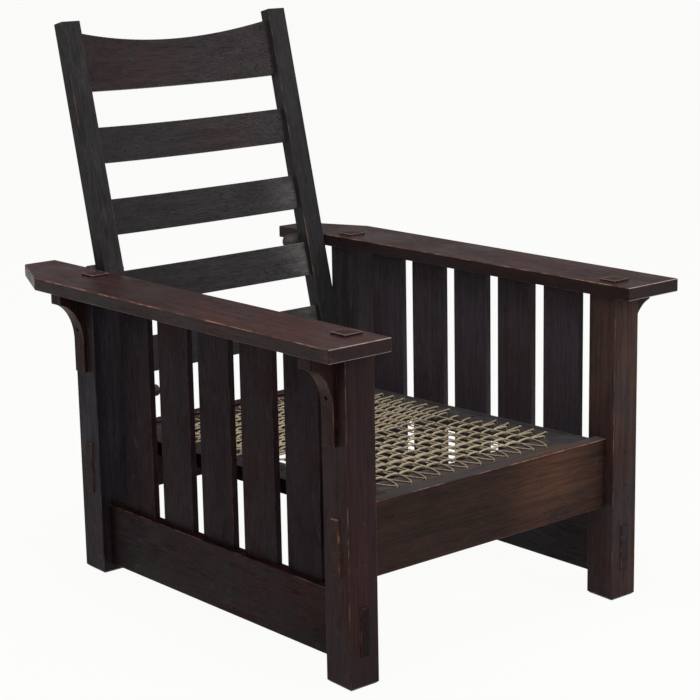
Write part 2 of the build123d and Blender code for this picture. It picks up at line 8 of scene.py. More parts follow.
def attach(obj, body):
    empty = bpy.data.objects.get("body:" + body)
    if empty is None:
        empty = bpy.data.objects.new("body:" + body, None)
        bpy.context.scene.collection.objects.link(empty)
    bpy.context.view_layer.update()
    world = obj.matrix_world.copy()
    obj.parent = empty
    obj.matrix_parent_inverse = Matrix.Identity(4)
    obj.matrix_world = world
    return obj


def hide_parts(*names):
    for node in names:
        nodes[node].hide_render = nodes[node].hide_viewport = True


# A reclining armchair in dark oak. Metres, in the same frame as the CAD parts.

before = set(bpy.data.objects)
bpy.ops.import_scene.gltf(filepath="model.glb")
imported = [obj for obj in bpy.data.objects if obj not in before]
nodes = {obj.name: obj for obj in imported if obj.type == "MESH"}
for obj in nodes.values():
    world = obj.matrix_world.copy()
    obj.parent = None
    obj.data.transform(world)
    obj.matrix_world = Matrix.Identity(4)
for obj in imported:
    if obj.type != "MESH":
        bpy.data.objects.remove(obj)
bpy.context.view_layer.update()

# Turns of the chair's parts about X, in degrees
STANCE = 1.7184
BACK_LEAN = 15.4184
SEAT_TILT = 2.8642
SEAT_CENTRE = Vector((0.0, -0.070748, 0.274377))


# Node trees

# The sockets of a colour mix node: its share, its two colours and its result
MIX_SHARE = 0
MIX_FIRST = 6
MIX_SECOND = 7
MIX_RESULT = 2
BEVEL_SAMPLES = 6


class Tree:
    """The node tree of a material or a world, with short calls to add and join nodes."""

    def __init__(self, owner):
        self.owner = owner
        owner.use_nodes = True
        self.nodes = owner.node_tree.nodes
        self.links = owner.node_tree.links
        self.nodes.clear()

    def add(self, kind, inputs=None, **settings):
        node = self.nodes.new(kind)
        for key, value in settings.items():
            setattr(node, key, value)
        for key, value in (inputs or {}).items():
            socket = node.inputs[key]
            if isinstance(value, bpy.types.NodeSocket):
                self.links.new(value, socket)
            else:
                socket.default_value = value
        return node

    def math(self, operation, first, second=0.0, clamp=False):
        node = self.add("ShaderNodeMath", {0: first, 1: second}, operation=operation, use_clamp=clamp)
        return node.outputs[0]

    def times(self, first, second, clamp=False):
        return self.math("MULTIPLY", first, second, clamp)

    def mix(self, share, first, second):
        """A colour that goes from the first to the second by a share."""
        inputs = {MIX_SHARE: share}
        for key, value in ((MIX_FIRST, first), (MIX_SECOND, second)):
            inputs[key] = value if isinstance(value, bpy.types.NodeSocket) else (*value, 1.0)
        return self.add("ShaderNodeMix", inputs, data_type="RGBA").outputs[MIX_RESULT]

    def ramp(self, value, low, high, to_low=0.0, to_high=1.0):
        """A smooth step from one level to another, as a value goes from low to high."""
        node = self.add(
            "ShaderNodeMapRange",
            {"Value": value, "From Min": low, "From Max": high, "To Min": to_low, "To Max": to_high},
            interpolation_type="SMOOTHSTEP",
        )
        return node.outputs[0]

    def noise(self, vector, scale, detail, roughness=0.5):
        stretched = self.add("ShaderNodeMapping", {"Vector": vector, "Scale": scale})
        node = self.add(
            "ShaderNodeTexNoise",
            {"Vector": stretched.outputs[0], "Scale": 1.0, "Detail": detail, "Roughness": roughness},
        )
        return node.outputs[0]

    def bump(self, height, strength, distance, normal=None):
        inputs = {"Height": height, "Strength": strength, "Distance": distance}
        if normal is not None:
            inputs["Normal"] = normal
        return self.add("ShaderNodeBump", inputs).outputs[0]

    def edges(self, radius, low, high):
        """How near a point is to an edge of its own piece, from 0 to 1."""
        rounded = self.add("ShaderNodeBevel", {"Radius": radius}, samples=BEVEL_SAMPLES)
        true = self.add("ShaderNodeNewGeometry")
        dot = self.add(
            "ShaderNodeVectorMath", {0: rounded.outputs[0], 1: true.outputs["True Normal"]},
            operation="DOT_PRODUCT",
        )
        return self.ramp(dot.outputs["Value"], high, low)

    def close(self, shader, output="ShaderNodeOutputMaterial"):
        """Joins the last shader to the output and gives the material or world."""
        end = self.add(output)
        self.links.new(shader.outputs[0], end.inputs[0])
        return self.owner

    def principled(self, inputs):
        return self.close(self.add("ShaderNodeBsdfPrincipled", inputs))


def material_tree(name):
    return Tree(bpy.data.materials.new(name))


def scaled(tone, share):
    """A colour made darker or lighter by a share."""
    return tuple(c * share for c in tone)


# Oak

# Patterns of the wood: repeats in a metre, the third along the grain, then detail and roughness
WOBBLE = ((9.0, 9.0, 3.0), 2.0)
BANDS = ((90.0, 90.0, 2.0), 3.0, 0.6)
STREAKS = ((330.0, 330.0, 13.0), 3.0, 0.65)
FLECKS = ((300.0, 300.0, 90.0), 2.0, 0.7)
PORES = ((850.0, 850.0, 24.0), 1.0)
FLAKES = ((130.0, 55.0, 38.0), 1.0)
BROAD = ((6.0, 6.0, 2.2), 3.0)
BLOTCH = ((15.0, 15.0, 9.0), 4.0, 0.65)
PATCHY = ((60.0, 60.0, 26.0), 4.0, 0.7)
# How far the grain sways, and how far the patterns of one piece lie from those of the next
GRAIN_SWAY = {"X": 0.020, "Y": 0.012}
SEED_STEPS = (1.37, 0.73, 2.11)

# The range of a pattern over which what is named sets in
PORE_SPAN = (0.58, 0.68)
FLAKE_SPAN = (0.64, 0.76)
FLECK_SPAN = (0.60, 0.74)
GRAIN_SPAN = (0.38, 0.62)
WARM_GRAIN_SPAN = (0.36, 0.66)
PATCH_GRAIN_SPAN = (0.38, 0.64)
WARM_BROAD_SPAN = (0.40, 0.62)
WARM_BLOTCH_SPAN = (0.34, 0.60)
PATCH_BLOTCH_SPAN = (0.30, 0.56)
DUST_SPAN = (0.46, 0.74)
WORN_PATCHY_SPAN = (0.36, 0.56)
WORN_BLOTCH_SPAN = (0.36, 0.58)
BARE_SPAN = (0.44, 0.62)
SHINE_SPAN = (0.30, 0.70)

# Tones that all pieces share
FLECK_TONE = (0.16, 0.085, 0.06)
DUST_TONE = (0.090, 0.083, 0.082)
FLAKE_TONE = (0.09, 0.070, 0.062)
PORE_TONE = (0.004, 0.003, 0.003)
BARE_TONES = ((0.15, 0.055, 0.037), (0.36, 0.19, 0.13))
# The painted highlight on the rims of tenon tops
TENON_RIM_HIGHLIGHT_TONE = (0.42, 0.31, 0.29)
# The painted highlight along the arms' front edges
ARM_FRONT_HIGHLIGHT_TONE = (0.42, 0.31, 0.28)

# Shares of those tones and of an arm's flank
FLECK_SHARE = 0.6
PORE_SHARE = 0.5
FLAKE_SHARE = 0.12
FLAKE_SHARE_PER_DUST = 0.4
FLANK_SHARE = 0.55
# The brightness of a tone where its grain is dark or light
WARM_DARK = 0.62
TOP_DARK = 0.75
PATCH_DARK = 0.65
PATCH_LIGHT = 1.35

# Radius and range of a worn edge and of a tenon rim's painted highlight; the wear no pattern takes away
EDGE = (0.0036, 0.76, 0.95)
TENON_RIM_HIGHLIGHT_EDGE = (0.0060, 0.82, 0.985)
EVEN_WEAR = 0.06
EVEN_WEAR_SHARE = 0.50
# The wear of edges that look down and up, as shares of a piece's own wear
LOW_WEAR_SHARE = 0.4
HIGH_WEAR_SHARE = 1.5
HIGH_WEAR_MORE = 0.1

# Ranges of a normal's parts in the piece's level frame
SLANT_START = (0.22, 0.42)
SLANT_END = (0.97, 0.90)
DOWN_TO_UP = (-0.4, 0.5)
UP_TO_FLANK = (0.90, 0.55)
LEVEL_TOPS = (0.85, 0.95)
TO_FRONT = (-0.2, -0.5)
# The painted highlight on an arm's front edges: the pattern's range, and what it goes from and to
ARM_FRONT_HIGHLIGHT = (0.30, 0.56, 0.35, 0.9)

# Surface: how far roughness goes below and above a piece's own, what pores add to it, the dents
# in a metre and their range, and how deep pores are beside the streaks
SMOOTHER = 0.08
ROUGHER = 0.12
PORE_ROUGHNESS = 0.2
DENT_SCALE = 26.0
DENT_SPAN = (0.03, 0.10)
PORE_DEPTH = 0.9
# Each bump's strength and distance
GRAIN_BUMP = (0.5, 0.0005)
DENT_BUMP = (0.35, 0.0007)
BROAD_BUMP = (0.35, 0.005)


class Wood(Tree):
    """A material's tree with the patterns that the oak's colour and relief are mixed from."""

    def __init__(self, name, seed, turn):
        super().__init__(bpy.data.materials.new(name))
        coordinates = self.add("ShaderNodeTexCoord").outputs
        self.place = coordinates["Object"]
        self.facing = coordinates["Normal"]
        self.local = self.add(
            "ShaderNodeMapping",
            {"Vector": self.place, "Rotation": tuple(math.radians(a) for a in turn),
             "Location": tuple(seed * step for step in SEED_STEPS)},
        ).outputs[0]
        wobble = self.noise(self.local, *WOBBLE)
        sway = self.add(
            "ShaderNodeCombineXYZ", {axis: self.times(wobble, reach) for axis, reach in GRAIN_SWAY.items()})
        bent = self.add(
            "ShaderNodeVectorMath", {0: self.local, 1: sway.outputs[0]}, operation="ADD").outputs[0]
        self.streaks = self.noise(bent, *STREAKS)
        self.grain = self.times(self.math("ADD", self.noise(bent, *BANDS), self.streaks), 0.5)
        self.flecks = self.ramp(self.noise(bent, *FLECKS), *FLECK_SPAN)
        self.pores = self.ramp(self.noise(bent, *PORES), *PORE_SPAN)
        self.flakes = self.ramp(self.noise(bent, *FLAKES), *FLAKE_SPAN)
        self.broad = self.noise(self.local, *BROAD)
        self.blotch = self.noise(self.local, *BLOTCH)
        self.patchy = self.noise(self.local, *PATCHY)

    def grained(self, dark, light, span=GRAIN_SPAN):
        """A colour that goes from dark to light with the grain."""
        return self.mix(self.ramp(self.grain, *span), dark, light)

    def facing_parts(self, level):
        """The three parts of the normal, in the frame where the piece lies level."""
        square = self.add(
            "ShaderNodeMapping",
            {"Vector": self.facing, "Rotation": (math.radians(level), 0.0, 0.0)},
            vector_type="VECTOR",
        ).outputs[0]
        return self.add("ShaderNodeSeparateXYZ", {"Vector": square}).outputs

    def slant(self, part):
        """Where one part of the normal is neither near zero nor near its full size."""
        size = self.math("ABSOLUTE", part)
        return self.times(self.ramp(size, *SLANT_START), self.ramp(size, *SLANT_END))

    def stain(self, tone, warm, warm_share, dust_share, streak):
        """The colour of the flat wood: grain, warm patches, flecks, dust, ray flake and pores."""
        colour = self.grained(scaled(tone, 1 - streak), scaled(tone, 1 + streak))
        warmth = self.times(
            self.ramp(self.broad, *WARM_BROAD_SPAN), self.ramp(self.blotch, *WARM_BLOTCH_SPAN), True)
        warm_wood = self.grained(scaled(warm, WARM_DARK), warm, WARM_GRAIN_SPAN)
        colour = self.mix(self.times(warmth, warm_share), colour, warm_wood)
        fleck = tuple(FLECK_SHARE * f + (1 - FLECK_SHARE) * t for f, t in zip(FLECK_TONE, tone))
        colour = self.mix(self.times(self.flecks, streak), colour, fleck)
        dust = self.times(self.ramp(self.patchy, *DUST_SPAN), dust_share)
        colour = self.mix(dust, colour, DUST_TONE)
        flake_share = FLAKE_SHARE + FLAKE_SHARE_PER_DUST * dust_share
        colour = self.mix(self.times(self.flakes, flake_share), colour, FLAKE_TONE)
        return self.mix(self.times(self.pores, PORE_SHARE), colour, PORE_TONE)

    def capped(self, colour, up, top_tone, rim_highlight_strength):
        """The colour with faces that look up in a tone of their own, and painted highlights on their rims.
        """
        tops = self.ramp(up, *LEVEL_TOPS)
        colour = self.mix(tops, colour, self.grained(scaled(top_tone, TOP_DARK), top_tone))
        if rim_highlight_strength:
            # A painted highlight round the rims of the faces that look up
            rim_highlight = self.times(self.edges(*TENON_RIM_HIGHLIGHT_EDGE), tops)
            colour = self.mix(self.times(rim_highlight, rim_highlight_strength), colour, TENON_RIM_HIGHLIGHT_TONE)
        return colour

    def patched(self, colour, middle, reach, strength, hue):
        """The colour with a patch of another tone round a point; on the front seat rail it is painted light.
        """
        away = self.add("ShaderNodeVectorMath", {0: self.place, 1: middle}, operation="DISTANCE")
        around = self.times(self.ramp(away.outputs["Value"], reach, 0.0), strength)
        patch_tone = self.grained(scaled(hue, PATCH_DARK), scaled(hue, PATCH_LIGHT), PATCH_GRAIN_SPAN)
        return self.mix(self.times(around, self.ramp(self.blotch, *PATCH_BLOTCH_SPAN)), colour, patch_tone)

    def bared(self, colour, near, share, wear):
        """The colour with the stain worn off at the edges."""
        even = EVEN_WEAR + EVEN_WEAR_SHARE * wear
        worn = self.times(near, self.ramp(self.patchy, *WORN_PATCHY_SPAN, even, 1.0))
        worn = self.times(worn, self.ramp(self.blotch, *WORN_BLOTCH_SPAN, even, 1.0))
        bare = self.mix(self.ramp(self.patchy, *BARE_SPAN), *BARE_TONES)
        return self.mix(self.times(worn, share, True), colour, bare)

    def relief(self):
        """The normal with grain, pores, dents and a slight unevenness."""
        dents = self.add(
            "ShaderNodeTexVoronoi", {"Vector": self.local, "Scale": DENT_SCALE}, feature="SMOOTH_F1")
        hollow = self.ramp(dents.outputs["Distance"], *DENT_SPAN)
        grooves = self.math("SUBTRACT", self.streaks, self.times(self.pores, PORE_DEPTH))
        normal = self.bump(grooves, *GRAIN_BUMP)
        normal = self.bump(hollow, *DENT_BUMP, normal)
        return self.bump(self.broad, *BROAD_BUMP, normal)


def oak(name, seed, lie, rims, tone, warm, warm_share, dust_share, wear, sheen, rough, streak,
        cap=None, flank=None, patches=()):
    """Old fumed oak: streaked grain, pores, ray flake, warm patches, dust, worn edges, painted highlights.
    """
    turn, level = lie
    wood = Wood(name, seed, turn)
    colour = wood.stain(tone, warm, warm_share, dust_share, streak)
    near = wood.edges(*EDGE)
    share = wear
    if rims:
        parts = wood.facing_parts(level)
        ahead, up = parts[1], parts[2]
        for axis in rims:
            near = wood.math("MAXIMUM", near, wood.slant(parts["XYZ".index(axis)]))
        high_wear = min(1.0, wear * HIGH_WEAR_SHARE + HIGH_WEAR_MORE)
        share = wood.ramp(up, *DOWN_TO_UP, wear * LOW_WEAR_SHARE, high_wear)
        if flank:
            colour = wood.mix(wood.ramp(up, *UP_TO_FLANK, 0.0, FLANK_SHARE), colour, flank)
            # A painted highlight along the arm's front edges, where the top turns down
            front_highlight = wood.times(wood.slant(up), wood.ramp(ahead, *TO_FRONT))
            front_highlight = wood.times(front_highlight, wood.ramp(wood.patchy, *ARM_FRONT_HIGHLIGHT))
        if cap:
            colour = wood.capped(colour, up, *cap)
    for patch in patches:
        colour = wood.patched(colour, *patch)
    colour = wood.bared(colour, near, share, wear)
    # Paints the highlight along the arm's front edges
    if flank:
        colour = wood.mix(front_highlight, colour, ARM_FRONT_HIGHLIGHT_TONE)
    shine = wood.ramp(wood.blotch, *SHINE_SPAN, rough - SMOOTHER, rough + ROUGHER)
    shine = wood.math("ADD", shine, wood.times(wood.pores, PORE_ROUGHNESS), True)
    return wood.principled({
        "Base Color": colour, "Roughness": shine, "Normal": wood.relief(), "Specular IOR Level": sheen,
    })


# How each piece lies: the turn that brings its grain upright, and its tilt about X
UPRIGHT = ((STANCE, 0.0, 0.0), STANCE)
ALONG = ((90.0 + STANCE, 0.0, 0.0), STANCE)
ACROSS = ((STANCE, -90.0, 0.0), STANCE)
LEANING = ((BACK_LEAN, 0.0, 0.0), BACK_LEAN)
BACK_ACROSS = ((BACK_LEAN, -90.0, 0.0), BACK_LEAN)
SEAT_ALONG = ((90.0 + SEAT_TILT, 0.0, 0.0), SEAT_TILT)
SEAT_ACROSS = ((SEAT_TILT, -90.0, 0.0), SEAT_TILT)

WARM = (0.060, 0.020, 0.014)
RED_WARM = (0.094, 0.032, 0.026)
TAN_WARM = (0.098, 0.041, 0.024)
GREY_WARM = (0.055, 0.040, 0.035)

# The start of a piece's name, then how it lies, the axes whose slants count as worn rims, the
# tone, the warm tone and its share, dust, wear, sheen, roughness and streak contrast. The first
# row that fits a name counts
# Left slats, side rails and posts are darker than the right ones: painted shade left, painted light right
FINISHES = (
    ("left_arm", ALONG, "Z", (0.0370, 0.0180, 0.0180), RED_WARM, 0.55, 0.06, 0.95, 0.11, 0.38, 0.22),
    ("right_arm", ALONG, "Z", (0.0380, 0.0185, 0.0180), RED_WARM, 0.55, 0.08, 0.90, 0.11, 0.38, 0.22),
    ("left_side_rail", ALONG, "XYZ", (0.0105, 0.0045, 0.0056), WARM, 0.40, 0.05, 0.22, 0.065, 0.46, 0.3),
    ("right_side_rail", ALONG, "XYZ", (0.0205, 0.0178, 0.0205), WARM, 0.25, 0.08, 0.22, 0.08, 0.46, 0.3),
    ("front_seat_rail", ACROSS, "XYZ", (0.0285, 0.0122, 0.0090), TAN_WARM, 0.55, 0.04, 1.0, 0.10, 0.45, 0.3),
    ("rear_seat_rail", ACROSS, "XYZ", (0.016, 0.0090, 0.0085), WARM, 0.30, 0.12, 0.50, 0.09, 0.50, 0.3),
    ("front_cleat", ACROSS, "", (0.020, 0.0110, 0.0090), WARM, 0.30, 0.12, 0.40, 0.09, 0.55, 0.3),
    ("rear_cleat", ACROSS, "", (0.020, 0.0110, 0.0090), WARM, 0.30, 0.12, 0.40, 0.09, 0.55, 0.3),
    ("right_seat", SEAT_ALONG, "XYZ", (0.044, 0.041, 0.042), GREY_WARM, 0.30, 0.50, 0.30, 0.12, 0.60, 0.3),
    ("left_seat", SEAT_ALONG, "XYZ", (0.034, 0.030, 0.029), GREY_WARM, 0.30, 0.50, 0.30, 0.12, 0.60, 0.3),
    ("front_seat", SEAT_ACROSS, "XYZ", (0.068, 0.053, 0.049), GREY_WARM, 0.50, 0.30, 0.45, 0.12, 0.60, 0.3),
    ("rear_seat", SEAT_ACROSS, "XYZ", (0.032, 0.023, 0.021), GREY_WARM, 0.50, 0.30, 0.35, 0.12, 0.60, 0.3),
    ("left_stile", LEANING, "XYZ", (0.0240, 0.0226, 0.0242), WARM, 0.12, 0.16, 0.32, 0.10, 0.44, 0.22),
    ("right_stile", LEANING, "XYZ", (0.0275, 0.0260, 0.0275), WARM, 0.12, 0.16, 0.42, 0.10, 0.44, 0.22),
    ("back_rail", BACK_ACROSS, "Z", (0.0300, 0.0272, 0.0292), GREY_WARM, 0.12, 0.13, 0.18, 0.11, 0.42, 0.14),
    ("top_back", BACK_ACROSS, "Z", (0.0300, 0.0240, 0.0255), GREY_WARM, 0.15, 0.14, 0.22, 0.11, 0.42, 0.14),
    ("left_slat", UPRIGHT, "XYZ", (0.0118, 0.0060, 0.0090), WARM, 0.30, 0.04, 0.20, 0.065, 0.46, 0.25),
    ("right_slat", UPRIGHT, "XYZ", (0.0480, 0.0390, 0.0465), WARM, 0.30, 0.06, 0.15, 0.09, 0.46, 0.15),
    ("front_left_post", UPRIGHT, "XYZ", (0.0225, 0.0104, 0.0124), WARM, 0.50, 0.04, 0.42, 0.09, 0.44, 0.2),
    ("front_right_post", UPRIGHT, "XYZ", (0.0380, 0.0270, 0.0275), WARM, 0.50, 0.06, 0.45, 0.09, 0.44, 0.2),
    ("rear_left_post", UPRIGHT, "XYZ", (0.0230, 0.0195, 0.0265), WARM, 0.30, 0.08, 0.25, 0.08, 0.46, 0.3),
    ("rear_right_post", UPRIGHT, "XYZ", (0.0340, 0.0290, 0.0340), WARM, 0.30, 0.08, 0.20, 0.08, 0.46, 0.3),
    ("left_front", UPRIGHT, "X", (0.0215, 0.0100, 0.0092), WARM, 0.50, 0.06, 0.55, 0.09, 0.44, 0.3),
    ("left_rear", UPRIGHT, "X", (0.0150, 0.0085, 0.0090), WARM, 0.35, 0.06, 0.45, 0.09, 0.44, 0.3),
    ("rail_pins", UPRIGHT, "", (0.0240, 0.0112, 0.0130), WARM, 0.50, 0.04, 0.05, 0.09, 0.44, 0.2),
    ("right_", UPRIGHT, "X", (0.022, 0.0120, 0.0115), WARM, 0.50, 0.08, 0.80, 0.09, 0.44, 0.3),
    ("", UPRIGHT, "", (0.066, 0.0590, 0.0580), GREY_WARM, 0.30, 0.20, 0.60, 0.12, 0.44, 0.3),
)
TURNED = ("left_pivot_pin", "right_pivot_pin", "left_support_peg", "right_support_peg", "pivot_spacers")

# The tone of a piece's faces that look up, and how strongly their rims' painted highlight shows
TENON_TOP = ((0.050, 0.021, 0.018), 0.85)
CAPS = {"front_seat_rail": ((0.068, 0.060, 0.060), 0.0)}
ARM_FLANK = (0.0170, 0.0115, 0.0120)
PALE_GREY = (0.125, 0.120, 0.118)
# Patches of another tone round a point: the middle, the reach, the strength and the colour
PATCHES = {
    # Painted light: a warm patch that lightens the right part of the front seat rail
    "front_seat_rail": (((0.14, -0.42, 0.245), 0.16, 0.75, (0.105, 0.046, 0.027)),),
    "left_arm": (
        ((-0.33, -0.16, 0.57), 0.20, 0.20, RED_WARM),
        ((-0.397, -0.4785, 0.556), 0.026, 1.0, (0.20, 0.085, 0.050)),
    ),
    "front_left_post": (((-0.30, -0.45, 0.36), 0.27, 0.75, (0.040, 0.0170, 0.0170)),),
    "front_right_post": (
        ((0.335, -0.45, 0.42), 0.24, 0.80, (0.078, 0.042, 0.034)),
        ((0.36, -0.45, 0.08), 0.12, 0.45, (0.075, 0.035, 0.026)),
    ),
    "top_back_rail": (((-0.12, 0.44, 0.91), 0.20, 0.7, (0.038, 0.019, 0.021)),),
    "back_rail_2": (((0.09, 0.40, 0.76), 0.16, 0.7, (0.044, 0.026, 0.025)),),
    "back_rail_3": (((0.22, 0.365, 0.63), 0.09, 0.6, PALE_GREY),),
    "back_rail_4": (((0.215, 0.33, 0.50), 0.10, 1.0, PALE_GREY),),
    "back_rail_5": (((0.215, 0.30, 0.39), 0.10, 1.0, PALE_GREY),),
}


def finish_for(node):
    """The finish of a piece, the last of the list with its grain across for the turned ones."""
    if node in TURNED:
        return (ACROSS,) + FINISHES[-1][2:]
    return next(row[1:] for row in FINISHES if node.startswith(row[0]))


# Steel and cord

RUST_NOISE = ((260.0, 260.0, 260.0), 4.0, 0.7)
RUST_SPAN = (0.42, 0.62)
STEEL_TONES = ((0.07, 0.045, 0.036), (0.045, 0.024, 0.017))
STEEL_ROUGHNESS = (0.38, 0.75)
STEEL_METALLIC = 0.25
RUST_BUMP = (0.3, 0.0002)


def screw_material():
    """Browned steel."""
    tree = material_tree("screw_steel")
    place = tree.add("ShaderNodeTexCoord").outputs["Object"]
    rust = tree.ramp(tree.noise(place, *RUST_NOISE), *RUST_SPAN)
    return tree.principled({
        "Base Color": tree.mix(rust, *STEEL_TONES), "Roughness": tree.ramp(rust, 0.0, 1.0, *STEEL_ROUGHNESS),
        "Metallic": STEEL_METALLIC, "Normal": tree.bump(rust, *RUST_BUMP),
    })


LONG_NOISE = ((14.0, 14.0, 14.0), 3.0)
FINE_NOISE = ((420.0, 420.0, 420.0), 3.0, 0.7)
SPOT_NOISE = ((75.0, 75.0, 75.0), 3.0, 0.6)
CORD_TONES = ((0.46, 0.36, 0.24), (0.62, 0.51, 0.35))
SOIL_TONE = (0.30, 0.20, 0.13)
FIBRE_TONE = (0.75, 0.65, 0.50)
# Each ramp's range, then what it goes from and to
CORD_SHADES = (0.35, 0.65)
CORD_SOIL = (0.52, 0.72, 0.0, 0.6)
CORD_FIBRES = (0.35, 0.7, 0.0, 0.4)
CORD_ROUGHNESS = (0.3, 0.7, 0.75, 0.95)
CORD_BUMP = (0.5, 0.0004)
CORD_SHEEN = 0.2


def cord_material(name, share):
    """Tan laid cord, soiled in spots, at a share of its full brightness; a low share is painted shade."""
    tree = material_tree(name)
    place = tree.add("ShaderNodeTexCoord").outputs["Object"]
    long = tree.noise(place, *LONG_NOISE)
    fine = tree.noise(place, *FINE_NOISE)
    spots = tree.noise(place, *SPOT_NOISE)
    colour = tree.mix(tree.ramp(long, *CORD_SHADES), *(scaled(tone, share) for tone in CORD_TONES))
    colour = tree.mix(tree.ramp(spots, *CORD_SOIL), colour, scaled(SOIL_TONE, share))
    colour = tree.mix(tree.ramp(fine, *CORD_FIBRES), colour, scaled(FIBRE_TONE, share))
    return tree.principled({
        "Base Color": colour, "Roughness": tree.ramp(fine, *CORD_ROUGHNESS),
        "Normal": tree.bump(fine, *CORD_BUMP), "Specular IOR Level": CORD_SHEEN,
    })


steel = screw_material()
for index, (node, piece) in enumerate(sorted(nodes.items())):
    material = steel if "screws" in node else oak(
        node + "_oak", index + 1, *finish_for(node),
        cap=TENON_TOP if node.endswith("_post") else CAPS.get(node),
        flank=ARM_FLANK if node.endswith("_arm") else None,
        patches=PATCHES.get(node, ()),
    )
    piece.data.materials.clear()
    piece.data.materials.append(material)


# Woven seat, drawn in the seat's own frame: x across, y along and z above its top face

# The thick crosswise cords, the thin lengthwise ones, and how their radii vary
CORD_RADIUS = 0.00190
LINE_RADIUS = 0.00136
RADIUS_SPREAD = (0.95, 1.05)
# The strands of a cord, how far they stand out, and the length in which each comes to lie where
# the next one lay
STRANDS = 3
LOBE_SHARE = 0.10
LAY_LENGTH = 0.011
FULL_TURN = 6.28
# The sides of a ring of a cord's mesh, and the distance from ring to ring
RING_SIDES = 9
STEP = 0.0032
# How bright the two kinds of cord are; the lengthwise ones are darker by painted shade
CORD_BRIGHTNESS = 0.86
LINE_SHADED_BRIGHTNESS = 0.66

# Holes of the seat frame: a row in each cross member and two in each side member, the outer
# one with a hole less
CROSS_HOLES = 12
SIDE_HOLES = 18
PITCH_X = 0.0316
PITCH_Y = 0.0315
CROSS_HOLE_Y = 0.316
INNER_HOLE_X = 0.218
OUTER_HOLE_X = 0.240
FRAME_DEPTH = 0.026


def spread(count, pitch):
    """Places at an even pitch, centred on zero."""
    return [(k - (count - 1) / 2) * pitch for k in range(count)]


hole_x = spread(CROSS_HOLES, PITCH_X)
line_x = spread(CROSS_HOLES + 1, PITCH_X)
row_y = spread(SIDE_HOLES, PITCH_Y)
outer_y = spread(SIDE_HOLES - 1, PITCH_Y)
# Places of the outer rows, counted from the front, that have no cord
MISSING_CORDS = (5, 6, 7)

tilt = math.radians(SEAT_TILT)
ALONG_SEAT = Vector((0.0, math.cos(tilt), -math.sin(tilt)))
SEAT_NORMAL = Vector((0.0, math.sin(tilt), math.cos(tilt)))


def seat_points(places):
    """Points given in the seat's own frame, its top face at zero."""
    return [SEAT_CENTRE + Vector((x, 0.0, 0.0)) + ALONG_SEAT * y + SEAT_NORMAL * z for x, y, z in places]


def smooth_path(points, step):
    """Points at about the given step along a smooth curve through the given ones."""
    ends = [points[0] * 2 - points[1]] + points + [points[-1] * 2 - points[-2]]
    dense = []
    for a, b, c, d in zip(ends, ends[1:], ends[2:], ends[3:]):
        count = max(2, int((c - b).length / step) + 1)
        for k in range(count):
            t = k / count
            dense.append(0.5 * (
                2 * b + (c - a) * t + (2 * a - 5 * b + 4 * c - d) * t * t
                + (3 * b - 3 * c + d - a) * t * t * t
            ))
    dense.append(points[-1])
    return dense


def tube(path, radius, phase, vertices, faces):
    """Adds a laid cord, its strands twisted round the path, closed at both ends."""
    base = len(vertices)
    side = None
    run = 0.0
    for k, point in enumerate(path):
        ahead = (path[min(k + 1, len(path) - 1)] - path[max(k - 1, 0)]).normalized()
        if side is None:
            side = ahead.orthogonal().normalized()
        side = (side - ahead * side.dot(ahead)).normalized()
        other = ahead.cross(side)
        if k:
            run += (point - path[k - 1]).length
        twist = phase + run * 2 * math.pi / LAY_LENGTH
        for n in range(RING_SIDES):
            a = 2 * math.pi * n / RING_SIDES
            lobe = math.cos(STRANDS * (a - twist / STRANDS))
            r = radius * (1 - LOBE_SHARE + LOBE_SHARE * lobe)
            vertices.append(point + side * (r * math.cos(a)) + other * (r * math.sin(a)))
    rings = len(path)
    for k in range(rings - 1):
        for n in range(RING_SIDES):
            m = (n + 1) % RING_SIDES
            low = base + k * RING_SIDES
            faces.append((low + n, low + m, low + RING_SIDES + m, low + RING_SIDES + n))
    faces.append(tuple(base + n for n in reversed(range(RING_SIDES))))
    faces.append(tuple(base + (rings - 1) * RING_SIDES + n for n in range(RING_SIDES)))


def mesh_piece(name, vertices, faces, material, body):
    mesh = bpy.data.meshes.new(name)
    mesh.from_pydata([tuple(v) for v in vertices], [], faces)
    mesh.polygons.foreach_set("use_smooth", [True] * len(mesh.polygons))
    mesh.materials.append(material)
    mesh.update()
    piece = bpy.data.objects.new(name, mesh)
    bpy.context.scene.collection.objects.link(piece)
    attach(piece, body)
    return piece


# Heights of the weave: its middle, the lengthwise cords above and below that, and its sag
# between the members
WEAVE_Z = 0.0016
LINE_TOP = 0.0009
LINE_BELOW = 0.0020
SAG_DEPTH = 0.004
SAG_REACH_X = 0.21
SAG_REACH_Y = 0.28
# A line's two cords lie this far to each side of it
LINE_SPREAD = 0.0017
# A line's drift, and its sways: the size, then the radians in a metre along the seat and from
# line to line
DRIFT = 0.0014
SWAYS = ((0.0011, 31.0, 2.3), (0.0007, 83.0, 5.1))
# Crosswise cords in front of this place lie in pairs, each this much nearer to the other
PAIRED_AHEAD = -0.105
PAIR_REACH = 0.0056
# How far a row may lie off its place
ROW_JITTER = 0.0021

SEED = 7
rng = random.Random(SEED)
line_drift = [rng.uniform(-DRIFT, DRIFT) for _ in line_x]


def sag(x, y):
    """How far the weave sinks below the frame's top between the members."""
    return -SAG_DEPTH * max(0.0, 1 - (x / SAG_REACH_X) ** 2) * max(0.0, 1 - (y / SAG_REACH_Y) ** 2)


def line_at(line, y):
    """Where a lengthwise line lies at a place along the seat."""
    slow, quick = (size * math.sin(y * turns + line * shift) for size, turns, shift in SWAYS)
    return line_x[line] + line_drift[line] + (slow + quick)


